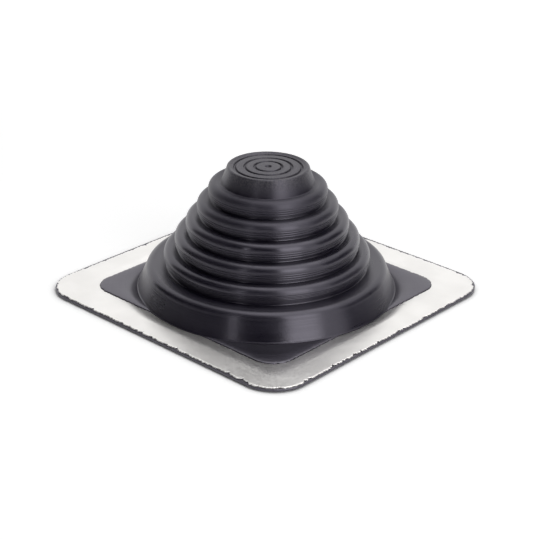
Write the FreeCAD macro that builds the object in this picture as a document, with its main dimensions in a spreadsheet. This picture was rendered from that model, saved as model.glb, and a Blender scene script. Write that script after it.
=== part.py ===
import FreeCAD, Part
import math
import os

import Sketcher

# Pipe flashing boot: a stepped rubber cone, closed at the top, moulded round a square sheet of soft
# aluminium. The cap and the rings above the pipe's size are cut away on site.
# The origin is in the middle of the base, on the plane it rests on, with +Z up and the sides of the
# base along X and Y. Lengths are in millimetres.

SIZES = [
    # the square base, from the roof upwards
    ("base_side", 203.2),
    ("base_corner", 23.3),
    ("seal_rib_height", 0.8),
    ("seal_rib_width", 1.6),
    ("seal_rib_margin", 5.0),
    ("seal_rib_spacing", 8.0),
    ("underlayer_thickness", 1.4),
    ("sheet_thickness", 0.9),
    ("sheet_edge_inset", 0.6),
    ("sheet_grip", 1.5),
    ("skin_side", 159.7),
    ("skin_corner", 16.0),
    ("skin_thickness", 0.5),
    # the skirt
    ("wall", 3.0),
    ("skirt_height", 16.0),
    ("skirt_ledge_width", 11.5),
    ("skirt_edge_radius", 3.5),
    ("skirt_flare", 5.7),
    # the rings
    ("top_ring_radius", 37.1),
    ("ring_step_out", 7.0),
    ("ring_step_down", 10.85),
    ("bead_radius", 2.9),
    ("bead_rise", 0.4),
    ("neck_height", 2.6),
    ("lowest_neck_height", 4.0),
    ("ring_taper", 0.6),
    ("undercut_depth", 1.2),
    # the closed cap
    ("cap_height", 11.2),
    ("cap_radius", 25.8),
    ("cap_flare", 3.2),
    ("cap_edge_radius", 2.8),
    ("cap_thickness", 3.0),
    ("cap_groove_radius", 8.7),
    ("cap_groove_spacing", 6.4),
    ("cap_groove_width", 1.1),
    ("cap_groove_depth", 0.9),
    ("dimple_radius", 1.3),
    ("dimple_depth", 0.9),
]

RINGS = 5
SEAL_RIBS = 2
CAP_GROOVES = 3
QUARTER = math.pi / 2
UP = FreeCAD.Vector(0, 0, 1)

os.makedirs("parts", exist_ok=True)
doc = FreeCAD.newDocument("pipe_flashing_boot")

sheet = doc.addObject("Spreadsheet::Sheet", "Sizes")
for line, (name, value) in enumerate(SIZES, start=1):
    sheet.set(f"A{line}", name)
    sheet.set(f"B{line}", str(value))
    sheet.setAlias(f"B{line}", name)
doc.recompute()

# Heights of the layers of the base
SHEET_UNDER = "(Sizes.seal_rib_height + Sizes.underlayer_thickness)"
SHEET_TOP = f"({SHEET_UNDER} + Sizes.sheet_thickness)"


def ring_radius(ring):
    """Outer radius of a ring, counted down from the cap."""
    return f"(Sizes.top_ring_radius + {ring} * Sizes.ring_step_out)"


def valley_height(ring):
    """Height above the sheet of the valley that a ring's neck stands in."""
    return f"(Sizes.skirt_height + {RINGS - 1 - ring} * Sizes.ring_step_down)"


def ring_bore(ring):
    """Inner radius of a ring, and above the first ring that of the cap's foot."""
    outer = CAP_FOOT if ring < 0 else ring_radius(ring)
    return f"({outer} - Sizes.wall)"


def neck_radius(ring):
    """Outer radius of the neck under a ring, and above the first ring that of the cap's foot."""
    return CAP_FOOT if ring < 0 else f"({ring_radius(ring)} - Sizes.ring_taper - Sizes.undercut_depth)"


CAP_FOOT = "(Sizes.cap_radius + Sizes.cap_flare)"
CAP_TOP = f"({valley_height(-1)} + Sizes.cap_height)"
LEDGE = f"({ring_radius(RINGS - 1)} + Sizes.skirt_ledge_width)"
FOOT = f"({LEDGE} + Sizes.skirt_flare)"
HOLLOW = f"({FOOT} - Sizes.wall)"
SHEET_OPENING = f"({HOLLOW} + Sizes.sheet_grip)"


def new_body(name):
    """A body whose label is also its file name."""
    body = doc.addObject("PartDesign::Body", name)
    body.Label = name
    return body


def new_sketch(body, name, role, lift):
    """A sketch on one of the body's origin planes, raised by the expression `lift`."""
    support = next(f for f in body.Origin.OriginFeatures if f.Role == role)
    sketch = body.newObject("Sketcher::SketchObject", name)
    sketch.AttachmentSupport = (support, [""])
    sketch.MapMode = "FlatFace"
    normal_is_up = role == "XY_Plane"
    sketch.setExpression("AttachmentOffset.Base.z" if normal_is_up else "AttachmentOffset.Base.y", lift)
    return sketch


def number(expression):
    """The present value of an expression over the sheet."""
    result = sheet.evalExpression(expression)
    return float(getattr(result, "Value", result))


def bind(sketch, kind, *where, size):
    """Add a dimension to a sketch and tie it to the sheet."""
    index = sketch.addConstraint(Sketcher.Constraint(kind, *where, number(size)))
    sketch.setExpression(f"Constraints[{index}]", size)


def relate(sketch, kind, *where):
    """Add a constraint that has no size."""
    sketch.addConstraint(Sketcher.Constraint(kind, *where))


def circle(sketch, radius):
    """A circle about the sketch's origin."""
    index = sketch.addGeometry(Part.Circle(FreeCAD.Vector(), UP, number(radius)), False)
    relate(sketch, "Coincident", index, 3, -1, 1)
    bind(sketch, "Radius", index, size=radius)


def rounded_square(sketch, side, corner):
    """A square with rounded corners about the sketch's origin, its sides along the sketch's axes."""
    half, radius = number(side) / 2, number(corner)
    flat = half - radius
    first = sketch.GeometryCount
    for quarter in range(4):
        spin = FreeCAD.Rotation(UP, 90 * quarter)
        start, end, centre = (
            spin.multVec(FreeCAD.Vector(*at, 0)) for at in ((-flat, -half), (flat, -half), (flat, -flat))
        )
        begin = (quarter - 1) * QUARTER
        sketch.addGeometry(Part.LineSegment(start, end), False)
        sketch.addGeometry(Part.ArcOfCircle(Part.Circle(centre, UP, radius), begin, begin + QUARTER), False)
    for k in range(0, 8, 2):
        relate(sketch, "Tangent", first + k, 2, first + k + 1, 1)
        relate(sketch, "Tangent", first + k + 1, 2, first + (k + 2) % 8, 1)
        relate(sketch, "Horizontal" if k % 4 == 0 else "Vertical", first + k)
    for k in (3, 5, 7):
        relate(sketch, "Equal", first + 1, first + k)
    bind(sketch, "Radius", first + 1, size=corner)
    half_side = f"({side}) / 2"
    bind(sketch, "DistanceY", first, 1, -1, 1, size=half_side)
    bind(sketch, "DistanceY", -1, 1, first + 4, 1, size=half_side)
    bind(sketch, "DistanceX", -1, 1, first + 2, 1, size=half_side)
    bind(sketch, "DistanceX", first + 6, 1, -1, 1, size=half_side)


def place(sketch, geometry, point, at):
    """Hold a point of the sketch at (radius, height), both expressions over the sheet."""
    for kind, axis, size in (("DistanceX", -2, at[0]), ("DistanceY", -1, at[1])):
        if size == "0":
            relate(sketch, "PointOnObject", geometry, point, axis)
        else:
            bind(sketch, kind, -1, 1, geometry, point, size=size)


def outline(sketch, corners):
    """A closed outline beside the vertical axis, each corner a (radius, height) over the sheet."""
    first, count = sketch.GeometryCount, len(corners)
    points = [FreeCAD.Vector(number(radius), number(height), 0) for radius, height in corners]
    for k, point in enumerate(points):
        sketch.addGeometry(Part.LineSegment(point, points[(k + 1) % count]), False)
    for k, corner in enumerate(corners):
        relate(sketch, "Coincident", first + (k - 1) % count, 2, first + k, 1)
        place(sketch, first + k, 1, corner)


def rounded(radius, height, size):
    """The corners of a rounded outer edge, drawn as two flats within a quarter circle."""
    cut = f"{size} * (1 - cos(45))"
    return [
        (radius, f"({height} - {size})"),
        (f"({radius} - {cut})", f"({height} - {cut})"),
        (f"({radius} - {size})", height),
    ]


def pad(body, sketch, name, length):
    """Raise the sketch upwards by the expression `length`."""
    feature = body.newObject("PartDesign::Pad", name)
    feature.Profile = sketch
    feature.setExpression("Length", length)
    return feature


def turn(body, sketch, name, kind="PartDesign::Revolution"):
    """Turn the sketch once round the vertical axis."""
    feature = body.newObject(kind, name)
    feature.Profile = sketch
    feature.ReferenceAxis = (sketch, ["V_Axis"])
    feature.Angle = 360
    return feature


boot = new_body("rubber_boot")

# The rubber layer under the sheet, open to the hollow of the cone
layer = new_sketch(boot, "underlayer_outline", "XY_Plane", "Sizes.seal_rib_height")
rounded_square(layer, "Sizes.base_side", "Sizes.base_corner")
circle(layer, HOLLOW)
pad(boot, layer, "underlayer", "Sizes.underlayer_thickness")

# Sealing ribs under that layer, which follow its edge
for rib in range(SEAL_RIBS):
    inset = f"(Sizes.seal_rib_margin + {rib} * Sizes.seal_rib_spacing)"
    rib_outline = new_sketch(boot, f"seal_rib_{rib + 1}_outline", "XY_Plane", "0 mm")
    for shrink in (inset, f"({inset} + Sizes.seal_rib_width)"):
        rounded_square(rib_outline, f"(Sizes.base_side - 2 * {shrink})", f"(Sizes.base_corner - {shrink})")
    pad(boot, rib_outline, f"seal_rib_{rib + 1}", "Sizes.seal_rib_height")

# The collar inside the sheet's opening and the skin over the sheet, which together grip its inner edge
collar = new_sketch(boot, "collar_outline", "XY_Plane", SHEET_UNDER)
circle(collar, SHEET_OPENING)
circle(collar, HOLLOW)
pad(boot, collar, "collar", "Sizes.sheet_thickness")
skin = new_sketch(boot, "skin_outline", "XY_Plane", SHEET_TOP)
rounded_square(skin, "Sizes.skin_side", "Sizes.skin_corner")
circle(skin, HOLLOW)
pad(boot, skin, "skin", "Sizes.skin_thickness")

# The skirt: a nearly level ledge round the lowest ring, and a wall that flares to the foot
skirt = new_sketch(boot, "skirt_section", "XZ_Plane", SHEET_TOP)
ledge_height = valley_height(RINGS - 1)
ledge_under = f"({ledge_height} - Sizes.wall)"
outline(skirt, [
    (HOLLOW, "0"),
    (FOOT, "0"),
    *rounded(LEDGE, f"({ledge_height} + Sizes.bead_rise)", "Sizes.skirt_edge_radius"),
    (ring_bore(RINGS - 1), ledge_height),
    (ring_bore(RINGS - 1), ledge_under),
    (f"({LEDGE} - Sizes.wall)", ledge_under),
])
turn(boot, skirt, "skirt")

# The rings, from the lowest up: each is a wall that leans in downwards over a neck, and its shoulder
# rises a little from the neck of the ring above to a rounded edge
for ring in reversed(range(RINGS)):
    radius, valley, valley_above = ring_radius(ring), valley_height(ring), valley_height(ring - 1)
    wall_foot, neck = f"({radius} - Sizes.ring_taper)", neck_radius(ring)
    neck_height = "Sizes.lowest_neck_height" if ring == RINGS - 1 else "Sizes.neck_height"
    bead_top = f"({valley_above} + Sizes.bead_rise)"
    section = new_sketch(boot, f"ring_{ring + 1}_section", "XZ_Plane", SHEET_TOP)
    outline(section, [
        (ring_bore(ring), f"({valley} - Sizes.wall)"),
        (neck, f"({valley} - Sizes.wall)"),
        (neck, f"({valley} + {neck_height})"),
        (wall_foot, f"({valley} + {neck_height})"),
        *rounded(radius, bead_top, "Sizes.bead_radius"),
        (neck_radius(ring - 1), valley_above),
        (ring_bore(ring - 1), valley_above),
        (ring_bore(ring - 1), f"({valley_above} - Sizes.wall)"),
        (ring_bore(ring), f"({valley_above} - Sizes.wall)"),
    ])
    turn(boot, section, f"ring_{ring + 1}")

# The closed cap
valley_above = valley_height(-1)
cap = new_sketch(boot, "cap_section", "XZ_Plane", SHEET_TOP)
outline(cap, [
    ("0", f"({CAP_TOP} - Sizes.cap_thickness)"),
    ("(Sizes.cap_radius - Sizes.wall)", f"({CAP_TOP} - Sizes.cap_thickness)"),
    (ring_bore(-1), f"({valley_above} - Sizes.wall)"),
    (CAP_FOOT, f"({valley_above} - Sizes.wall)"),
    (CAP_FOOT, valley_above),
    *rounded("Sizes.cap_radius", CAP_TOP, "Sizes.cap_edge_radius"),
    ("0", CAP_TOP),
])
turn(boot, cap, "cap")

# Cutting guides on the cap: round grooves and a dimple in the middle
guides = new_sketch(boot, "cap_guides_section", "XZ_Plane", SHEET_TOP)
for groove in range(CAP_GROOVES):
    middle = f"(Sizes.cap_groove_radius + {groove} * Sizes.cap_groove_spacing)"
    outline(guides, [
        (f"({middle} - Sizes.cap_groove_width / 2)", CAP_TOP),
        (middle, f"({CAP_TOP} - Sizes.cap_groove_depth)"),
        (f"({middle} + Sizes.cap_groove_width / 2)", CAP_TOP),
    ])
outline(guides, [("0", CAP_TOP), ("0", f"({CAP_TOP} - Sizes.dimple_depth)"), ("Sizes.dimple_radius", CAP_TOP)])
doc.recompute()
uncut = boot.Shape.Volume
turn(boot, guides, "cap_guides", "PartDesign::Groove")

# The aluminium sheet, set in a little from the edge of the rubber below it
flange = new_body("aluminium_flange")
sheet_outline = new_sketch(flange, "sheet_outline", "XY_Plane", SHEET_UNDER)
rounded_square(sheet_outline, "(Sizes.base_side - 2 * Sizes.sheet_edge_inset)",
               "(Sizes.base_corner - Sizes.sheet_edge_inset)")
circle(sheet_outline, SHEET_OPENING)
pad(flange, sheet_outline, "flange_sheet", "Sizes.sheet_thickness")

doc.recompute()
for item in doc.Objects:
    if "Invalid" in item.State or "Error" in item.State:
        raise RuntimeError(f"{item.Label} did not build: {item.State}")
if not boot.Shape.Volume < uncut:
    raise RuntimeError("the guides cut nothing from the cap")
for body in (boot, flange):
    shape = body.Shape
    if shape.isNull() or not shape.isValid() or len(shape.Solids) != 1:
        raise RuntimeError(f"{body.Label} is not one valid solid")
    shape.exportStep(f"parts/{body.Label}.step")
    print(f"{body.Label}: {shape.Volume / 1000:.2f} cm3, {len(shape.Faces)} faces")
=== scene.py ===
"""The looks of a pipe flashing boot: a stepped black rubber cone moulded to a square of soft aluminium.

All lengths are in metres in the part's own frame: +Z up, origin in the middle of the underside.
"""

import logging
import math
from collections.abc import Callable
from dataclasses import dataclass, field
from enum import Enum

import bpy
import numpy as np
from mathutils import Matrix, Vector


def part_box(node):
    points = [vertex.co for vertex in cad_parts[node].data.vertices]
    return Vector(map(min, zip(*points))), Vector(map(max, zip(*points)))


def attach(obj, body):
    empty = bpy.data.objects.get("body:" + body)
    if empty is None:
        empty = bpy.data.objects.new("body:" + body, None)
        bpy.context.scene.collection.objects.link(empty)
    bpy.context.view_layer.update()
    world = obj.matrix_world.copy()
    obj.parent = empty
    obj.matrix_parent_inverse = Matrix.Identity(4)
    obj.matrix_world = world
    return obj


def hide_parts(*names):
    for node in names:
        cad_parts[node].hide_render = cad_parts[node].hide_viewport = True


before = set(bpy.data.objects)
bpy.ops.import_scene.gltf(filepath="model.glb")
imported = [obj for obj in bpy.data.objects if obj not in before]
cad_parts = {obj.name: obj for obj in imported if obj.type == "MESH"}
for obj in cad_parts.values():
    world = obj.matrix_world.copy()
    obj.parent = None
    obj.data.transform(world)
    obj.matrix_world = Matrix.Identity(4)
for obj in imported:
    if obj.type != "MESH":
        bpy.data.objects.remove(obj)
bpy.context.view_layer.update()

log = logging.getLogger("boot")
MM = 0.001
TAU = 2.0 * math.pi
Colour = tuple[float, float, float]


class Slot(Enum):
    """The record's material slots."""

    RUBBER = "rubber"
    ALUMINIUM = "aluminium"


# ---------------------------------------------------------------- meshes


def arc(centre: tuple[float, float], radius: float, start: float, end: float, steps: int) -> np.ndarray:
    """Points on a circle: centre + radius * (cos, sin) of evenly spaced angles.

    Args:
        centre: Middle of the circle as (r, z).
        radius: Radius of the circle.
        start: First angle in degrees, 0 along +r and 90 along +z.
        end: Last angle in degrees.
        steps: Number of points.

    Returns:
        An array of (r, z) rows.
    """
    angle = np.radians(np.linspace(start, end, steps))
    return np.column_stack((centre[0] + radius * np.cos(angle), centre[1] + radius * np.sin(angle)))


def line(start: tuple[float, float], end: tuple[float, float], steps: int) -> np.ndarray:
    """Evenly spaced points on a straight run between two (r, z) points."""
    return np.linspace(start, end, steps)


def wave(seed: int, angle: np.ndarray, lowest: int, highest: int, falloff: float) -> np.ndarray:
    """A closed random wave round the object: a sum of cosines of whole numbers of turns.

    Args:
        seed: Seed of the phases and strengths.
        angle: Angles in radians where the wave is wanted.
        lowest: Fewest periods in a turn.
        highest: Most periods in a turn.
        falloff: Power of the period number that each strength is divided by.

    Returns:
        The wave at those angles, scaled to a spread of about one.
    """
    random = np.random.default_rng(seed)
    order = np.arange(lowest, highest + 1)
    strength = random.normal(size=order.size) / order**falloff
    phase = random.uniform(0.0, TAU, order.size)
    value = np.cos(angle[..., None] * order + phase) @ strength
    return value / np.sqrt(np.sum(strength**2) / 2.0)


def build_mesh(name: str, vertices: np.ndarray, faces: list[list[int]]) -> bpy.types.Object:
    """Make a smooth-shaded mesh whose faces point outwards.

    Args:
        name: Name of the piece.
        vertices: Array of points.
        faces: Corner indices of each face; the shell they make is closed.

    Returns:
        The new object, at the origin.
    """
    mesh = bpy.data.meshes.new(name)
    mesh.from_pydata(vertices.tolist(), [], faces)
    mesh.update()
    mesh.calc_loop_triangles()
    triangles = np.zeros(len(mesh.loop_triangles) * 3, dtype=np.int32)
    mesh.loop_triangles.foreach_get("vertices", triangles)
    corner = vertices[triangles.reshape(-1, 3)]
    volume = np.einsum("ij,ij->i", corner[:, 0], np.cross(corner[:, 1], corner[:, 2])).sum() / 6.0
    if volume < 0.0:
        mesh.flip_normals()
    mesh.polygons.foreach_set("use_smooth", np.ones(len(mesh.polygons), dtype=bool))
    mesh.update()
    piece = bpy.data.objects.new(name, mesh)
    bpy.context.scene.collection.objects.link(piece)
    log.info("%s: %d faces, %.2f cm3", name, len(mesh.polygons), abs(volume) * 1e6)
    return piece


def grid_faces(rows: int, columns: int, wrap_rows: bool) -> np.ndarray:
    """Quads of a grid of points that closes on itself along its columns.

    Args:
        rows: Number of rows.
        columns: Number of points in a row.
        wrap_rows: Whether the last row joins the first.

    Returns:
        An array of four corner indices for each quad.
    """
    row = np.arange(rows if wrap_rows else rows - 1)[:, None]
    column = np.arange(columns)[None, :]
    below, beside = (row + 1) % rows, (column + 1) % columns
    corners = (row * columns + column, row * columns + beside,
               below * columns + beside, below * columns + column)
    return np.stack(np.broadcast_arrays(*corners), axis=-1).reshape(-1, 4)


def revolve(name: str, profile: np.ndarray, turns: int) -> bpy.types.Object:
    """Turn a profile about Z: point (r, z) at angle a becomes (r cos a, r sin a, z).

    Args:
        name: Name of the piece.
        profile: Rows of (r, z), from the axis round to the axis again.
        turns: Number of points round.

    Returns:
        A closed shell with one vertex at each pole.
    """
    angle = np.linspace(0.0, TAU, turns, endpoint=False)
    rings = profile[1:-1]
    points = np.stack((
        rings[:, :1] * np.cos(angle), rings[:, :1] * np.sin(angle),
        np.repeat(rings[:, 1:], turns, axis=1)), axis=-1).reshape(-1, 3)
    poles = np.array([[0.0, 0.0, profile[0, 1]], [0.0, 0.0, profile[-1, 1]]])
    first, last = len(points), len(points) + 1
    around = np.arange(turns)
    beside = (around + 1) % turns
    base = (len(rings) - 1) * turns
    first_fan = np.column_stack((np.full(turns, first), beside, around))
    last_fan = np.column_stack((np.full(turns, last), base + around, base + beside))
    faces = grid_faces(len(rings), turns, False).tolist() + first_fan.tolist() + last_fan.tolist()
    return build_mesh(name, np.vstack((points, poles)), faces)


def band(name: str, rows: np.ndarray) -> bpy.types.Object:
    """A closed ring-shaped shell from loops of points; the last loop joins the first.

    Args:
        name: Name of the piece.
        rows: Array of loops, each an array of points round the axis.

    Returns:
        The new object.
    """
    count, around = rows.shape[:2]
    return build_mesh(name, rows.reshape(-1, 3), grid_faces(count, around, True).tolist())


def square_loop(side: float, corner: float, count: int) -> tuple[np.ndarray, np.ndarray]:
    """A square with rounded corners, walked at even steps.

    Each step lies on a side, where the normal is the side's, or on a quarter circle about a corner's
    centre, where the normal turns with the walk.

    Args:
        side: Width of the square.
        corner: Radius of its corners.
        count: Number of points.

    Returns:
        The points and their outward normals, both (count, 2).
    """
    flat = side - 2.0 * corner
    quarter = flat + corner * math.pi / 2.0
    walked = np.linspace(0.0, 4.0 * quarter, count, endpoint=False)
    turn, along = np.floor(walked / quarter), np.mod(walked, quarter)
    on_side = along < flat
    bend = np.where(on_side, 0.0, (along - flat) / corner)
    normal = np.stack((np.cos(bend), np.sin(bend)), axis=-1)
    across = np.full(count, side / 2.0 - corner)
    centre = np.stack((across, np.where(on_side, along - flat / 2.0, flat / 2.0)), axis=-1)
    point = centre + corner * normal
    swing = turn * math.pi / 2.0
    spin = np.stack((np.cos(swing), -np.sin(swing), np.sin(swing), np.cos(swing)), axis=-1).reshape(-1, 2, 2)
    return np.einsum("nij,nj->ni", spin, point), np.einsum("nij,nj->ni", spin, normal)


# ---------------------------------------------------------------- shader groups


class Nodes:
    """A node tree with short calls to add nodes and join them."""

    def __init__(self, tree: bpy.types.NodeTree) -> None:
        """Hold the tree that nodes are added to."""
        self.tree = tree

    def add(self, kind: str, **settings: object) -> bpy.types.Node:
        """Add a node and set its properties and its input values.

        Args:
            kind: The node's type name.
            **settings: A property of the node, or an input socket by its name with underscores.

        Returns:
            The node.
        """
        node = self.tree.nodes.new(kind)
        for key, value in settings.items():
            if hasattr(node, key):
                setattr(node, key, value)
            else:
                node.inputs[key.replace("_", " ")].default_value = value
        return node

    def join(self, source: bpy.types.NodeSocket, target: bpy.types.NodeSocket) -> None:
        """Link one socket to another."""
        self.tree.links.new(source, target)

    def maths(self, operation: str, *values: bpy.types.NodeSocket | float) -> bpy.types.NodeSocket:
        """Add a Math node.

        Args:
            operation: The node's operation.
            *values: Its inputs in order, each a socket or a number.

        Returns:
            Its result.
        """
        node = self.add("ShaderNodeMath", operation=operation)
        for slot, value in zip(node.inputs, values):
            if isinstance(value, bpy.types.NodeSocket):
                self.join(value, slot)
            else:
                slot.default_value = value
        return node.outputs[0]

    def ramp(self, value: bpy.types.NodeSocket, low: float, high: float,
             to_low: float = 0.0, to_high: float = 1.0) -> bpy.types.NodeSocket:
        """Map a value smoothly from one range to another, clamped at both ends.

        Args:
            value: The value.
            low: Start of its range.
            high: End of its range.
            to_low: What the start becomes.
            to_high: What the end becomes.

        Returns:
            The mapped value.
        """
        node = self.add("ShaderNodeMapRange", interpolation_type="SMOOTHSTEP")
        for slot, number in zip(list(node.inputs)[1:5], (low, high, to_low, to_high)):
            slot.default_value = number
        self.join(value, node.inputs[0])
        return node.outputs[0]

    def from_axis(self, x: bpy.types.NodeSocket, y: bpy.types.NodeSocket) -> bpy.types.NodeSocket:
        """Distance from the Z axis: the square root of x * x + y * y."""
        squares = self.maths("ADD", self.maths("MULTIPLY", x, x), self.maths("MULTIPLY", y, y))
        return self.maths("SQRT", squares)

    def mix_colour(self, factor: bpy.types.NodeSocket, first: bpy.types.NodeSocket | Colour,
                   second: bpy.types.NodeSocket | Colour) -> bpy.types.NodeSocket:
        """Blend two colours by a factor.

        Args:
            factor: 0 for the first colour and 1 for the second.
            first: A socket or a colour.
            second: A socket or a colour.

        Returns:
            The blended colour.
        """
        node = self.add("ShaderNodeMix", data_type="RGBA")
        self.join(factor, node.inputs["Factor"])
        for slot, colour in ((node.inputs[6], first), (node.inputs[7], second)):
            if isinstance(colour, bpy.types.NodeSocket):
                self.join(colour, slot)
            else:
                slot.default_value = (*colour, 1.0)
        return node.outputs[2]


def new_group(name: str, inputs: dict[str, float], outputs: dict[str, str]) -> tuple[
        bpy.types.NodeTree, Nodes, bpy.types.Node, bpy.types.Node]:
    """Make a shader node group.

    Args:
        name: Name of the group.
        inputs: Float inputs by name with their defaults; a Vector input called Position comes first.
        outputs: Outputs by name with their socket types.

    Returns:
        The group's tree, a Nodes for it, and its input and output nodes.
    """
    tree = bpy.data.node_groups.new(name, "ShaderNodeTree")
    tree.interface.new_socket("Position", in_out="INPUT", socket_type="NodeSocketVector")
    for label, default in inputs.items():
        socket = tree.interface.new_socket(label, in_out="INPUT", socket_type="NodeSocketFloat")
        socket.default_value = default
    for label, kind in outputs.items():
        tree.interface.new_socket(label, in_out="OUTPUT", socket_type=kind)
    nodes = Nodes(tree)
    return tree, nodes, nodes.add("NodeGroupInput"), nodes.add("NodeGroupOutput")


def grain_group() -> bpy.types.NodeTree:
    """Fine grain: two sizes of noise as a height, and a broad cloudy value for tone.

    Returns:
        The group, with outputs Height and Cloud.
    """
    tree, nodes, given, result = new_group(
        "surface_grain", {"Grain Scale": 900.0, "Cloud Scale": 30.0},
        {"Height": "NodeSocketFloat", "Cloud": "NodeSocketFloat"})
    fine = nodes.add("ShaderNodeTexNoise", Detail=3.0, Roughness=0.6)
    cloud = nodes.add("ShaderNodeTexNoise", Detail=2.0, Roughness=0.5)
    for node, scale in ((fine, "Grain Scale"), (cloud, "Cloud Scale")):
        nodes.join(given.outputs["Position"], node.inputs["Vector"])
        nodes.join(given.outputs[scale], node.inputs["Scale"])
    nodes.join(fine.outputs[0], result.inputs["Height"])
    nodes.join(nodes.ramp(cloud.outputs[0], 0.3, 0.7), result.inputs["Cloud"])
    return tree


def turned_group() -> bpy.types.NodeTree:
    """Fine lines round the axis, as a turned mould leaves: noise of (radius, height) that hardly
    changes with the angle.

    Returns:
        The group, with outputs Height and Streak.
    """
    tree, nodes, given, result = new_group(
        "turned_lines", {"Line Scale": 1500.0, "Along": 12.0, "Radius Share": 0.35},
        {"Height": "NodeSocketFloat", "Streak": "NodeSocketFloat"})
    parts = nodes.add("ShaderNodeSeparateXYZ")
    nodes.join(given.outputs["Position"], parts.inputs[0])
    x, y, z = parts.outputs
    flat = nodes.add("ShaderNodeCombineXYZ")
    outwards = nodes.maths("MULTIPLY", nodes.from_axis(x, y), given.outputs["Radius Share"])
    level = nodes.maths("ADD", z, outwards)
    nodes.join(nodes.maths("MULTIPLY", level, given.outputs["Line Scale"]), flat.inputs[0])
    nodes.join(nodes.maths("MULTIPLY", x, given.outputs["Along"]), flat.inputs[1])
    nodes.join(nodes.maths("MULTIPLY", y, given.outputs["Along"]), flat.inputs[2])
    lines = nodes.add("ShaderNodeTexNoise", Detail=2.0, Roughness=0.55, Scale=1.0)
    nodes.join(flat.outputs[0], lines.inputs["Vector"])
    nodes.join(lines.outputs[0], result.inputs["Height"])
    nodes.join(nodes.ramp(lines.outputs[0], 0.35, 0.65), result.inputs["Streak"])
    return tree


def round_group() -> bpy.types.NodeTree:
    """The direction round the axis at a place (x, y, z): the normalised vector (-y, x, 0).

    Returns:
        The group, with output Tangent.
    """
    tree, nodes, given, result = new_group("round_direction", {}, {"Tangent": "NodeSocketVector"})
    parts, flat = nodes.add("ShaderNodeSeparateXYZ"), nodes.add("ShaderNodeCombineXYZ")
    unit = nodes.add("ShaderNodeVectorMath", operation="NORMALIZE")
    nodes.join(given.outputs["Position"], parts.inputs[0])
    nodes.join(nodes.maths("MULTIPLY", parts.outputs[1], -1.0), flat.inputs[0])
    nodes.join(parts.outputs[0], flat.inputs[1])
    nodes.join(flat.outputs[0], unit.inputs[0])
    nodes.join(unit.outputs[0], result.inputs["Tangent"])
    return tree


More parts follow.
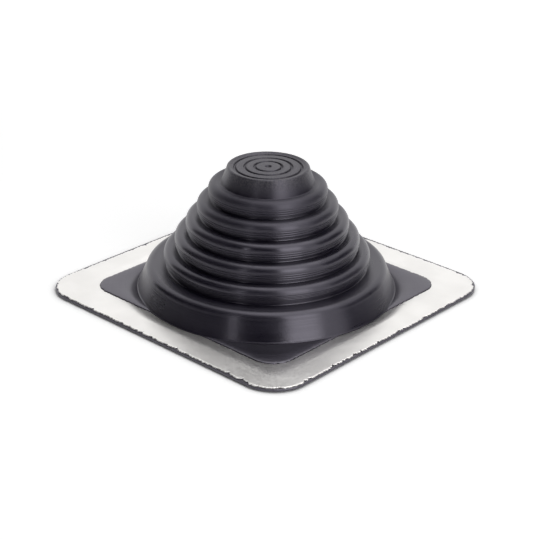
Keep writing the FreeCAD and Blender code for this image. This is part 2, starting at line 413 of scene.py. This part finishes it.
@dataclass(frozen=True)
class Rubber:
    """Black moulded rubber: charcoal with a faint violet cast, satin, with turned mould lines.

    The sheen is smeared round the axis, apart from the cap's top, where it is even. The upper rings
    are duller, and a pale speckle, partly chalky bloom and partly painted highlight, lightens the
    base colour towards the top of the cap. Fields that end in from and to are where such a change
    starts and ends: heights for dull and for the pale speckle, distances from the axis for smear.
    """

    name: str
    dark: Colour = (0.0046, 0.0036, 0.0095)
    pale: Colour = (0.0090, 0.0075, 0.0150)
    cast: Colour = (0.98, 0.93, 1.08)
    roughness: float = 0.31
    uneven: float = 0.04
    smear: float = 0.8
    dull_top: float = 0.16
    dull_from: float = 0.045
    dull_to: float = 0.075
    # Pale speckle colour and the heights it grows over: partly chalky bloom, partly painted highlight,
    # lighter towards the cap's top.
    bloom_and_highlight: Colour = (0.052, 0.050, 0.054)
    bloom_and_highlight_from: float = 0.0740
    bloom_and_highlight_to: float = 0.0835
    speckle_span: tuple[float, float] = (0.38, 0.62)
    speckle_least: float = 0.15
    cloud_share: float = 0.6
    smear_turn: float = 0.25
    smear_from: float = 0.022
    smear_to: float = 0.0256
    ior: float = 1.70
    grain_height: float = 0.00002
    line_height: float = 0.00005
    line_scale: float = 1500.0

    def material(self) -> bpy.types.Material:
        """Build the material; grain and mould lines drive its bump, tone and roughness.

        Returns:
            The material.
        """
        material = bpy.data.materials.new(self.name)
        material.use_nodes = True
        material.node_tree.nodes.clear()
        nodes = Nodes(material.node_tree)
        shader = nodes.add("ShaderNodeBsdfPrincipled", IOR=self.ior)
        output = nodes.add("ShaderNodeOutputMaterial")
        place = nodes.add("ShaderNodeTexCoord")
        grain = nodes.add("ShaderNodeGroup", node_tree=shared_group("surface_grain", grain_group))
        turned = nodes.add("ShaderNodeGroup", node_tree=shared_group("turned_lines", turned_group))
        turned.inputs["Line Scale"].default_value = self.line_scale
        for node in (grain, turned):
            nodes.join(place.outputs["Object"], node.inputs["Position"])
        tone = nodes.maths("ADD", nodes.maths("MULTIPLY", grain.outputs["Cloud"], self.cloud_share),
                           nodes.maths("MULTIPLY", turned.outputs["Streak"], 1.0 - self.cloud_share))
        parts = nodes.add("ShaderNodeSeparateXYZ")
        nodes.join(place.outputs["Object"], parts.inputs[0])
        x, y, z = parts.outputs
        speckle = nodes.ramp(grain.outputs["Height"], *self.speckle_span, self.speckle_least, 1.0)
        # Painted highlight with chalky bloom: a pale speckle in the base colour that grows towards the cap's
        # top.
        bloom_and_highlight_mask = nodes.maths("MULTIPLY", nodes.ramp(z, self.bloom_and_highlight_from, self.bloom_and_highlight_to), speckle)
        clean = nodes.mix_colour(tone, self.dark, self.pale)
        nodes.join(nodes.mix_colour(bloom_and_highlight_mask, clean, self.bloom_and_highlight), shader.inputs["Base Color"])
        shader.inputs["Specular Tint"].default_value = (*self.cast, 1.0)
        smear = nodes.ramp(nodes.from_axis(x, y), self.smear_from, self.smear_to, 0.0, self.smear)
        nodes.join(smear, shader.inputs["Anisotropic"])
        shader.inputs["Anisotropic Rotation"].default_value = self.smear_turn
        around = nodes.add("ShaderNodeGroup", node_tree=shared_group("round_direction", round_group))
        nodes.join(place.outputs["Object"], around.inputs["Position"])
        nodes.join(around.outputs["Tangent"], shader.inputs["Tangent"])
        gloss = nodes.ramp(tone, 0.0, 1.0, self.roughness - self.uneven, self.roughness + self.uneven)
        duller = nodes.ramp(z, self.dull_from, self.dull_to, 0.0, self.dull_top)
        nodes.join(nodes.maths("ADD", gloss, duller), shader.inputs["Roughness"])
        first = nodes.add("ShaderNodeBump", Strength=1.0, Distance=self.line_height)
        second = nodes.add("ShaderNodeBump", Strength=1.0, Distance=self.grain_height)
        nodes.join(turned.outputs["Height"], first.inputs["Height"])
        nodes.join(grain.outputs["Height"], second.inputs["Height"])
        nodes.join(first.outputs[0], second.inputs["Normal"])
        nodes.join(second.outputs[0], shader.inputs["Normal"])
        nodes.join(shader.outputs[0], output.inputs[0])
        return material


@dataclass(frozen=True)
class SoftAluminium:
    """Mill-finish aluminium: pale satin metal, a little cloudy, with soft handling dents."""

    name: str
    bright: Colour = (0.91, 0.895, 0.875)
    dull: Colour = (0.85, 0.835, 0.815)
    roughness: float = 0.39
    uneven: float = 0.05
    dent_height: float = 0.00012
    grain_scale: float = 600.0
    grain_span: tuple[float, float] = (0.3, 0.7)
    cloud_scale: float = 45.0

    def material(self) -> bpy.types.Material:
        """Build the material; cloudy tone and fine grain drive its colour, roughness and bump.

        Returns:
            The material.
        """
        material = bpy.data.materials.new(self.name)
        material.use_nodes = True
        material.node_tree.nodes.clear()
        nodes = Nodes(material.node_tree)
        shader = nodes.add("ShaderNodeBsdfPrincipled", Metallic=1.0)
        output = nodes.add("ShaderNodeOutputMaterial")
        place = nodes.add("ShaderNodeTexCoord")
        grain = nodes.add("ShaderNodeGroup", node_tree=shared_group("surface_grain", grain_group))
        grain.inputs["Grain Scale"].default_value = self.grain_scale
        grain.inputs["Cloud Scale"].default_value = self.cloud_scale
        nodes.join(place.outputs["Object"], grain.inputs["Position"])
        tone = nodes.mix_colour(grain.outputs["Cloud"], self.dull, self.bright)
        nodes.join(tone, shader.inputs["Base Color"])
        gloss = nodes.ramp(grain.outputs["Height"], *self.grain_span, self.roughness - self.uneven,
                           self.roughness + self.uneven)
        nodes.join(gloss, shader.inputs["Roughness"])
        dents = nodes.add("ShaderNodeBump", Strength=1.0, Distance=self.dent_height)
        nodes.join(grain.outputs["Cloud"], dents.inputs["Height"])
        nodes.join(dents.outputs[0], shader.inputs["Normal"])
        nodes.join(shader.outputs[0], output.inputs[0])
        return material


MOULDED_RUBBER = Rubber("moulded_rubber")
RUBBER_FILM = Rubber("rubber_film", dark=(0.012, 0.011, 0.017), pale=(0.022, 0.020, 0.028), roughness=0.34,
                     smear=0.0, ior=2.0, line_height=0.0)
MILL_ALUMINIUM = SoftAluminium("soft_aluminium")


def shared_group(name: str, build: Callable[[], bpy.types.NodeTree]) -> bpy.types.NodeTree:
    """The group of that name, built the first time it is asked for."""
    return bpy.data.node_groups.get(name) or build()


def dress(piece: bpy.types.Object, material: bpy.types.Material, slot: Slot, *stands_for: str) -> None:
    """Give a piece its finish and its body, and hide the CAD nodes that it stands for.

    Args:
        piece: The piece.
        material: Its finish.
        slot: The record's material slot; not used.
        *stands_for: CAD nodes that it replaces.
    """
    piece.data.materials.append(material)
    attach(piece, "root")
    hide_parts(*stands_for)


# ---------------------------------------------------------------- sub-assemblies


@dataclass
class Levels:
    """Heights of the base's layers, taken from the fixed frame."""

    sheet_under: float = field(default_factory=lambda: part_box("aluminium_flange")[0][2])
    sheet_top: float = field(default_factory=lambda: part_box("aluminium_flange")[1][2])
    top: float = field(default_factory=lambda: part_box("rubber_boot")[1][2])
    half_side: float = field(default_factory=lambda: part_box("rubber_boot")[1][0])


@dataclass
class Cone:
    """The stepped cone: cap, rings and skirt, hollow below, as one turned shell."""

    levels: Levels
    rings: int = 5
    wall: float = 3.0 * MM
    top_ring_radius: float = 37.1 * MM
    step_out: float = 7.0 * MM
    step_down: float = 10.85 * MM
    bead_radius: float = 4.3 * MM
    bead_rise: float = 0.4 * MM
    neck_height: float = 2.6 * MM
    lowest_neck_height: float = 4.0 * MM
    neck_fillet: float = 0.7 * MM
    taper: float = 0.6 * MM
    undercut: float = 1.2 * MM
    fine_ribs: int = 3
    fine_rib_height: float = 0.30 * MM
    fine_rib_share: float = 0.055
    fine_rib_start: float = 0.75
    skirt_height: float = 16.0 * MM
    skirt_ledge: float = 11.5 * MM
    skirt_round: float = 4.6 * MM
    skirt_flare: float = 5.7 * MM
    cap_height: float = 10.65 * MM
    cap_radius: float = 25.8 * MM
    cap_flare: float = 3.2 * MM
    cap_round: float = 1.4 * MM
    cap_thickness: float = 2.45 * MM
    cap_rim: float = 22.2 * MM
    groove_radius: float = 8.4 * MM
    groove_spacing: float = 6.2 * MM
    cap_dish: float = 0.45 * MM
    cap_crown: float = 0.30 * MM
    groove_width: float = 1.6 * MM
    grooves: int = 3
    groove_depth: float = 1.3 * MM
    dimple_radius: float = 1.9 * MM
    dimple_depth: float = 1.3 * MM
    foot_lip: float = 0.5 * MM
    inner_edge: float = 0.25 * MM
    cap_points: int = 150
    turns: int = 176

    def radius(self, ring: int) -> float:
        """Outer radius of a ring, counted down from the cap."""
        return self.top_ring_radius + ring * self.step_out

    def valley(self, ring: int) -> float:
        """Height over the sheet of the valley that a ring's neck stands in."""
        return self.skirt_height + (self.rings - 1 - ring) * self.step_down

    def neck(self, ring: int) -> float:
        """Radius of the neck under a ring; above the first ring, of the cap's foot."""
        if ring < 0:
            return self.cap_radius + self.cap_flare
        return self.radius(ring) - self.taper - self.undercut

    def cap_profile(self) -> np.ndarray:
        """The cap from its middle to its foot: a dished top with grooves, a round and a cone.

        The face lies lower than the rim by dish + crown * (r / rim)^2 and rises to it in a cosine
        step. Each groove lowers it by depth * exp(-(distance / width)^6), and the dimple in the
        middle by a rule of that kind.

        Returns:
            Rows of (r, z).
        """
        top = self.valley(-1) + self.cap_height
        r = np.linspace(0.0, self.cap_radius - self.cap_round, self.cap_points)
        rise = np.clip((r - self.cap_rim) / (r[-1] - self.cap_rim), 0.0, 1.0)
        sunk = self.cap_dish + self.cap_crown * (r / self.cap_rim)**2
        z = top - sunk * (0.5 + 0.5 * np.cos(math.pi * rise))
        for k in range(self.grooves):
            away = np.abs(r - self.groove_radius - k * self.groove_spacing) / (self.groove_width * 0.5)
            z -= self.groove_depth * np.exp(-away**6)
        z -= self.dimple_depth * np.exp(-(r / self.dimple_radius)**6)
        rounded = arc((self.cap_radius - self.cap_round, top - self.cap_round), self.cap_round, 90.0, 8.0, 8)
        neck, fillet = self.neck(-1), self.neck_fillet
        foot = line((self.cap_radius, top - self.cap_round), (neck, self.valley(-1) + fillet), 14)
        hollow = arc((neck + fillet, self.valley(-1) + fillet), fillet, 190.0, 270.0, 6)
        return np.vstack((np.column_stack((r, z)), rounded[1:], foot[1:], hollow[1:]))

    def ring_profile(self, ring: int) -> np.ndarray:
        """A ring from the valley above it to the valley below it.

        The nearly level shoulder ends in a quarter-round bead. The wall leans in, and each fine rib
        on it is a bump exp(-(distance / width)^2), with both as shares of the wall's height. The
        neck under it meets the next shoulder in a small hollow round.

        Args:
            ring: The ring, counted down from the cap.

        Returns:
            Rows of (r, z).
        """
        radius, above, below = self.radius(ring), self.valley(ring - 1), self.valley(ring)
        top = above + self.bead_rise
        centre = (radius - self.bead_radius, top - self.bead_radius)
        bead = arc(centre, self.bead_radius, 90.0, 0.0, 16)
        shoulder = line((self.neck(ring - 1) + self.neck_fillet, above), tuple(bead[0]), 6)
        foot = below + (self.lowest_neck_height if ring == self.rings - 1 else self.neck_height)
        wall = line((radius, centre[1]), (radius - self.taper, foot), 30)
        fall = (centre[1] - wall[:, 1]) / (centre[1] - wall[-1, 1])
        for k in range(self.fine_ribs):
            at = (k + self.fine_rib_start) / self.fine_ribs
            wall[:, 0] += self.fine_rib_height * np.exp(-((fall - at) / self.fine_rib_share)**2)
        neck, fillet = self.neck(ring), self.neck_fillet
        lip = line(tuple(wall[-1]), (neck, foot), 5)
        hollow = arc((neck + fillet, below + fillet), fillet, 180.0, 270.0, 7)
        upright = line((neck, foot), tuple(hollow[0]), 5)
        return np.vstack((shoulder[1:], bead[1:], wall[1:], lip[1:], upright[1:], hollow[1:]))

    def skirt_profile(self) -> np.ndarray:
        """The skirt from the lowest valley: a ledge, a round, a flared wall and a small foot lip.

        Returns:
            Rows of (r, z).
        """
        last = self.rings - 1
        ledge = self.radius(last) + self.skirt_ledge
        centre = (ledge - self.skirt_round, self.skirt_height + self.bead_rise - self.skirt_round)
        rounded = arc(centre, self.skirt_round, 90.0, 12.0, 12)
        foot = ledge + self.skirt_flare
        wide = self.foot_lip
        wall = line(tuple(rounded[-1]), (foot - wide, 1.8 * wide), 20)
        lip = np.array([[foot - 0.3 * wide, 1.5 * wide], [foot, wide], [foot, 0.0]])
        level = line((self.neck(last) + self.neck_fillet, self.skirt_height), tuple(rounded[0]), 8)
        return np.vstack((level[1:], rounded[1:], wall[1:], lip))

    def hollow_profile(self) -> np.ndarray:
        """The inside from the foot up to the axis, following the steps at one wall's thickness.

        Each corner becomes two points, one on either side of it, so its edge stays narrow.

        Returns:
            Rows of (r, z).
        """
        foot = self.radius(self.rings - 1) + self.skirt_ledge + self.skirt_flare
        points = [(foot - self.wall, 0.0),
                  (foot - self.skirt_flare - self.wall, self.skirt_height - self.wall)]
        for ring in reversed(range(self.rings)):
            bore = self.radius(ring) - self.wall
            points += [(bore, self.valley(ring) - self.wall), (bore, self.valley(ring - 1) - self.wall)]
        top = self.valley(-1) + self.cap_height - self.cap_thickness
        points += [(self.neck(-1) - self.wall, self.valley(-1) - self.wall),
                   (self.cap_radius - self.wall, top), (0.0, top)]
        edge = self.inner_edge
        corners = np.array(points)
        rows = [corners[0]]
        for before, here, after in zip(corners, corners[1:], corners[2:]):
            rows.append(here + edge * (before - here) / np.linalg.norm(before - here))
            rows.append(here + edge * (after - here) / np.linalg.norm(after - here))
        rows.append(corners[-1])
        return np.array(rows)

    def build(self) -> bpy.types.Object:
        """Build the cone as one closed shell.

        Returns:
            The piece.
        """
        outside = [self.cap_profile()] + [self.ring_profile(ring) for ring in range(self.rings)]
        profile = np.vstack(outside + [self.skirt_profile(), self.hollow_profile()])
        profile[:, 1] += self.levels.sheet_top
        profile[:, 1] = np.minimum(profile[:, 1], self.levels.top)
        return revolve("rubber_cone", profile, self.turns)


@dataclass
class Base:
    """The square base: rubber layer below, soft aluminium sheet and the thin rubber skin."""

    levels: Levels
    corner: float = 23.3 * MM
    hollow: float = 79.3 * MM
    grip: float = 80.8 * MM
    sheet_inset: float = 0.6 * MM
    skin_side: float = 159.7 * MM
    skin_corner: float = 16.0 * MM
    skin_thickness: float = 0.5 * MM
    skin_feather: float = 2.2 * MM
    skin_rough: float = 0.22 * MM
    rib_height: float = 0.8 * MM
    rib_width: float = 1.6 * MM
    rib_insets: tuple[float, ...] = (5.0 * MM, 13.0 * MM)
    rib_round: float = 0.2 * MM
    rib_slope: float = 0.15 * MM
    edge_rough: float = 0.10 * MM
    edge_round: float = 0.2 * MM
    foot_round: float = 0.3 * MM
    trim_rough: float = 0.30 * MM
    trim_creep: float = 0.45 * MM
    nicks: int = 380
    nick_depth: float = 0.45 * MM
    nick_limit: float = 2.2 * MM
    nick_widths: tuple[float, float] = (0.003, 0.011)
    flash_side: float = 132.0
    flash_share: float = 1.6
    count: int = 3200

    def loop(self, edge: np.ndarray, normal: np.ndarray, inset: float | np.ndarray,
             height: float | np.ndarray) -> np.ndarray:
        """A loop of points set in from the edge by `inset` at `height`, each a number or one per point."""
        flat = edge - normal * np.reshape(inset, (-1, 1))
        return np.column_stack((flat, np.broadcast_to(height, len(edge))))

    def circle(self, edge: np.ndarray, radius: float, height: float) -> np.ndarray:
        """A loop on a circle, in the same directions from the axis as the edge's points."""
        away = edge / np.linalg.norm(edge, axis=1)[:, None]
        return np.column_stack((away * radius, np.full(len(edge), height)))

    def underlay(self) -> bpy.types.Object:
        """The rubber layer under the sheet, with sealing ribs below and a rough moulded edge.

        It is a band of loops, from the collar's top outwards, over the edge and back along the ribs.

        Returns:
            The piece.
        """
        edge, normal = square_loop(2.0 * self.levels.half_side, self.corner, self.count)
        angle = np.arctan2(edge[:, 1], edge[:, 0])
        rough = self.edge_rough * (1.0 + np.tanh(wave(11, angle, 40, 260, 0.2)))
        low, high, top = self.rib_height, self.levels.sheet_under, self.levels.sheet_top
        rim = high + self.flash(angle) * (top - high)
        bend, bevel, slope = self.edge_round, self.foot_round, self.rib_slope
        rows = [self.circle(edge, self.hollow, top), self.circle(edge, self.grip, top),
                self.circle(edge, self.grip, high), self.circle(edge, self.grip + 1.0 * MM, high)]
        across = ((3.5 * MM, high), (3.3 * MM, 0.5 * (rim + high)), (3.0 * MM, rim - 0.04 * MM),
                  (1.0 * MM, rim - 0.03 * MM), (rough + bend, rim), (rough, rim - bend),
                  (rough, low + bend), (rough + bevel, low))
        rows += [self.loop(edge, normal, inset, height) for inset, height in across]
        for inset in self.rib_insets:
            far = inset + self.rib_width
            rib = ((inset - self.rib_round, low), (inset, low - slope), (inset + slope, 0.0),
                   (far - slope, 0.0), (far, low - slope), (far + self.rib_round, low))
            rows += [self.loop(edge, normal, *place) for place in rib]
        rows += [self.circle(edge, self.hollow + bevel, low), self.circle(edge, self.hollow, low + bevel)]
        return band("rubber_underlay", np.array(rows))

    def sheet(self) -> bpy.types.Object:
        """The aluminium sheet, its edge trimmed unevenly, with a soft roll-off at the rim.

        Where a nick is deep, the loops beside it give way inwards, so that no two of them cross.

        Returns:
            The piece.
        """
        edge, normal = square_loop(2.0 * self.levels.half_side, self.corner, self.count)
        angle = np.arctan2(edge[:, 1], edge[:, 0])
        uneven = self.trim_rough * np.tanh(wave(5, angle, 40, 420, 0.1))
        trim = self.sheet_inset + uneven + self.notches(angle) + self.trim_creep * self.flash(angle)
        low, high = self.levels.sheet_under, self.levels.sheet_top
        rows = [self.circle(edge, self.grip, low), self.circle(edge, self.grip, high)]
        rows += [self.loop(edge, normal, inset, high) for inset in np.array([14.0, 9.0, 5.0]) * MM]
        rows += [self.loop(edge, normal, np.maximum(inset, trim + clear), high)
                 for inset, clear in np.array([(2.5, 0.8), (1.6, 0.5)]) * MM]
        roll = ((trim + 0.25 * MM, high), (trim + 0.05 * MM, high - 0.1 * MM), (trim, high - 0.3 * MM),
                (trim, low), (4.0 * MM, low))
        rows += [self.loop(edge, normal, inset, height) for inset, height in roll]
        return band("aluminium_sheet", np.array(rows))

    def flash(self, angle: np.ndarray) -> np.ndarray:
        """How far rubber has crept up the sheet's edge, most on the side at `flash_side`:
        0.5 + share * cos(angle from that side), held between 0 and 1."""
        return np.clip(0.5 + self.flash_share * np.cos(angle - math.radians(self.flash_side)), 0.0, 1.0)

    def notches(self, angle: np.ndarray) -> np.ndarray:
        """Depth of the small nicks where the sheet's edge is torn back.

        Each is a narrow bump depth * exp(-|turn / width|) at a scattered direction.

        Args:
            angle: Angles in radians where the depth is wanted.

        Returns:
            The depth at those angles.
        """
        random = np.random.default_rng(41)
        depth = np.zeros(len(angle))
        for place in random.uniform(-math.pi, math.pi, self.nicks):
            width = random.uniform(*self.nick_widths)
            away = np.angle(np.exp(1j * (angle - place)))
            depth += random.gamma(0.8, self.nick_depth) * np.exp(-np.abs(away / width))
        return np.minimum(depth, self.nick_limit)

    def skin(self) -> bpy.types.Object:
        """The thin rubber skin over the sheet, with a slightly ragged edge that thins to nothing.

        Returns:
            The piece.
        """
        edge, normal = square_loop(self.skin_side, self.skin_corner, self.count)
        angle = np.arctan2(edge[:, 1], edge[:, 0])
        ragged = 0.12 * MM + self.skin_rough * np.abs(wave(23, angle, 30, 220, 0.5))
        low, high = self.levels.sheet_top, self.levels.sheet_top + self.skin_thickness
        inside = self.hollow + 0.1 * MM
        rows = [self.circle(edge, inside, low), self.circle(edge, inside, high),
                self.loop(edge, normal, ragged + self.skin_feather, high),
                self.loop(edge, normal, ragged + 0.5 * self.skin_feather, high - 0.12 * MM),
                self.loop(edge, normal, ragged, low)]
        return band("rubber_skin", np.array(rows))


# ---------------------------------------------------------------- studio


@dataclass
class Viewpoint:
    """The camera: where it stands and how it is turned, about the middle of the sheet's top."""

    levels: Levels
    azimuth: float = 42.17
    elevation: float = 25.148
    roll: float = 0.978
    distance: float = 0.92694
    right: float = 2.2708 * MM
    up: float = 8.8714 * MM
    lens: float = 96.67

    def build(self) -> bpy.types.Object:
        """Create the camera and make it the scene's.

        Returns:
            The camera's object.
        """
        tilt, turn, lean = (math.radians(a) for a in (self.elevation, self.azimuth, self.roll))
        back = Vector((0.0, -math.cos(tilt), math.sin(tilt)))
        side = Vector((1.0, 0.0, 0.0))
        over = back.cross(side)
        leaned = side * math.cos(lean) + over * math.sin(lean)
        upward = over * math.cos(lean) - side * math.sin(lean)
        place = back * self.distance + leaned * self.right + upward * self.up
        pose = Matrix((leaned, upward, back)).transposed().to_4x4()
        pose.translation = place
        pose = Matrix.Translation((0.0, 0.0, self.levels.sheet_top)) @ Matrix.Rotation(turn, 4, "Z") @ pose
        camera = bpy.data.cameras.new("camera")
        camera.lens, camera.sensor_width = self.lens, 36.0
        camera.clip_end = 50.0
        holder = bpy.data.objects.new("camera", camera)
        holder.matrix_world = pose
        bpy.context.scene.collection.objects.link(holder)
        bpy.context.scene.camera = holder
        return holder


@dataclass(frozen=True)
class SoftBox:
    """A rectangular lamp aimed at the object, placed by its direction from it."""

    name: str
    azimuth: float
    elevation: float
    distance: float
    width: float
    height: float
    power: float

    def build(self, turn: float) -> bpy.types.Object:
        """Create the lamp, with azimuth 0 on the camera's side and positive to its right.

        Args:
            turn: The camera's own azimuth in degrees.

        Returns:
            The lamp's object.
        """
        around, tilt = math.radians(self.azimuth + turn), math.radians(self.elevation)
        away = Vector((math.sin(around) * math.cos(tilt), -math.cos(around) * math.cos(tilt), math.sin(tilt)))
        lamp = bpy.data.lights.new(self.name, "AREA")
        lamp.shape, lamp.size, lamp.size_y, lamp.energy = "RECTANGLE", self.width, self.height, self.power
        holder = bpy.data.objects.new(self.name, lamp)
        aim = away.to_track_quat("Z", "Y").to_matrix().to_4x4()
        holder.matrix_world = Matrix.Translation(away * self.distance) @ aim
        bpy.context.scene.collection.objects.link(holder)
        return holder


@dataclass(frozen=True)
class Flag:
    """A black card bent round the object that keeps light and reflections off its dark side."""

    name: str
    start: float
    end: float
    low: float
    high: float
    distance: float

    def build(self, turn: float) -> bpy.types.Object:
        """Create the card between two azimuths and two heights, out of the camera's sight.

        Args:
            turn: The camera's own azimuth in degrees.

        Returns:
            The card.
        """
        around = np.radians(np.linspace(self.start, self.end, 48) + turn)
        foot = np.column_stack((self.distance * np.sin(around), -self.distance * np.cos(around)))
        rows = [np.column_stack((foot, np.full(len(foot), height))) for height in (self.low, self.high)]
        left = np.arange(len(foot) - 1)
        faces = np.column_stack((left, left + 1, len(foot) + left + 1, len(foot) + left)).tolist()
        mesh = bpy.data.meshes.new(self.name)
        mesh.from_pydata(np.vstack(rows).tolist(), [], faces)
        material = bpy.data.materials.new("black_card")
        material.use_nodes = True
        shader = material.node_tree.nodes["Principled BSDF"]
        shader.inputs["Base Color"].default_value = (0.01, 0.01, 0.01, 1.0)
        shader.inputs["Roughness"].default_value = 1.0
        mesh.materials.append(material)
        card = bpy.data.objects.new(self.name, mesh)
        card.visible_camera = False
        bpy.context.scene.collection.objects.link(card)
        return card


@dataclass
class Studio:
    """White surroundings, a pale floor, soft boxes and black cards.

    The floor is lifted to white for the rays that see it, by floor_lift near the object and fully
    from floor_far on, and less where it lies within contact_reach of the object, where ambient
    occlusion paints a contact shade into the lift.
    """

    turn: float
    ambient: float = 0.50
    floor_lift: float = 0.48
    floor_near: float = 0.35
    floor_far: float = 1.0
    floor_half: float = 6.0
    floor_tone: float = 0.9
    contact_reach: float = 0.010
    contact_power: float = 2.0
    boxes: tuple[SoftBox, ...] = (
        SoftBox("overhead_box", 125.0, 80.0, 1.2, 1.2, 1.0, 3.9),
        SoftBox("right_box", 33.0, 26.0, 1.2, 0.60, 1.0, 4.0),
        SoftBox("strip_box", -28.0, 24.0, 1.15, 0.05, 0.7, 0.5),
    )
    flags: tuple[Flag, ...] = (
        Flag("left_flag", -122.0, 18.0, 0.0, 4.0, 1.4),
        Flag("right_flag", 72.0, 125.0, 0.0, 1.0, 1.4),
    )

    def seen_rays(self, nodes: Nodes) -> bpy.types.NodeSocket:
        """One for rays from the camera, in gloss and through glass, and nought for the rest."""
        rays = nodes.add("ShaderNodeLightPath")
        return nodes.maths("MAXIMUM", nodes.maths("MAXIMUM", rays.outputs["Is Camera Ray"],
                           rays.outputs["Is Glossy Ray"]), rays.outputs["Is Transmission Ray"])

    def world(self) -> None:
        """Even soft light, seen as plain white by the camera, in gloss and through glass."""
        world = bpy.data.worlds.new("studio")
        bpy.context.scene.world = world
        world.use_nodes = True
        world.node_tree.nodes.clear()
        nodes = Nodes(world.node_tree)
        seen = self.seen_rays(nodes)
        light = nodes.add("ShaderNodeBackground", Color=(1.0, 1.0, 1.0, 1.0), Strength=self.ambient)
        white = nodes.add("ShaderNodeBackground", Color=(1.0, 1.0, 1.0, 1.0), Strength=1.0)
        mix, output = nodes.add("ShaderNodeMixShader"), nodes.add("ShaderNodeOutputWorld")
        nodes.join(seen, mix.inputs[0])
        nodes.join(light.outputs[0], mix.inputs[1])
        nodes.join(white.outputs[0], mix.inputs[2])
        nodes.join(mix.outputs[0], output.inputs[0])

    def floor(self) -> bpy.types.Object:
        """A wide pale floor at the height the base rests on.

        Returns:
            The floor.
        """
        half = self.floor_half
        mesh = bpy.data.meshes.new("floor")
        corners = [(-half, -half, 0.0), (half, -half, 0.0), (half, half, 0.0), (-half, half, 0.0)]
        mesh.from_pydata(corners, [], [(0, 1, 2, 3)])
        floor = bpy.data.objects.new("floor", mesh)
        bpy.context.scene.collection.objects.link(floor)
        material = bpy.data.materials.new("pale_floor")
        material.use_nodes = True
        nodes = Nodes(material.node_tree)
        shader = material.node_tree.nodes["Principled BSDF"]
        shader.inputs["Base Color"].default_value = (self.floor_tone, self.floor_tone, self.floor_tone, 1.0)
        shader.inputs["Roughness"].default_value = 0.9
        shader.inputs["Emission Color"].default_value = (1.0, 1.0, 1.0, 1.0)
        open_sky = nodes.add("ShaderNodeAmbientOcclusion", samples=8, Distance=self.contact_reach)
        place = nodes.add("ShaderNodeTexCoord")
        away = nodes.add("ShaderNodeVectorMath", operation="LENGTH")
        nodes.join(place.outputs["Object"], away.inputs[0])
        rising = nodes.ramp(away.outputs["Value"], self.floor_near, self.floor_far, self.floor_lift, 1.0)
        # Painted contact shade: ambient occlusion holds back the floor's white lift near the object.
        painted_contact_shade = nodes.maths("POWER", open_sky.outputs["AO"], self.contact_power)
        lift = nodes.maths("MULTIPLY", painted_contact_shade, rising)
        nodes.join(nodes.maths("MULTIPLY", self.seen_rays(nodes), lift), shader.inputs["Emission Strength"])
        mesh.materials.append(material)
        return floor

    def build(self) -> None:
        """Set up the surroundings."""
        self.world()
        self.floor()
        for piece in (*self.boxes, *self.flags):
            piece.build(self.turn)


def main() -> None:
    """Build, dress and light the boot."""
    logging.basicConfig(level=logging.INFO, format="%(name)s: %(message)s")
    bpy.context.scene.view_settings.view_transform = "Standard"
    levels = Levels()
    view = Viewpoint(levels)
    view.build()
    cone, base = Cone(levels), Base(levels)
    black, thin, pale = MOULDED_RUBBER.material(), RUBBER_FILM.material(), MILL_ALUMINIUM.material()
    dress(cone.build(), black, Slot.RUBBER, "rubber_boot")
    dress(base.underlay(), thin, Slot.RUBBER, "rubber_boot")
    dress(base.skin(), thin, Slot.RUBBER, "rubber_boot")
    dress(base.sheet(), pale, Slot.ALUMINIUM, "aluminium_flange")
    Studio(view.azimuth).build()


if __name__ == "__main__":
    main()
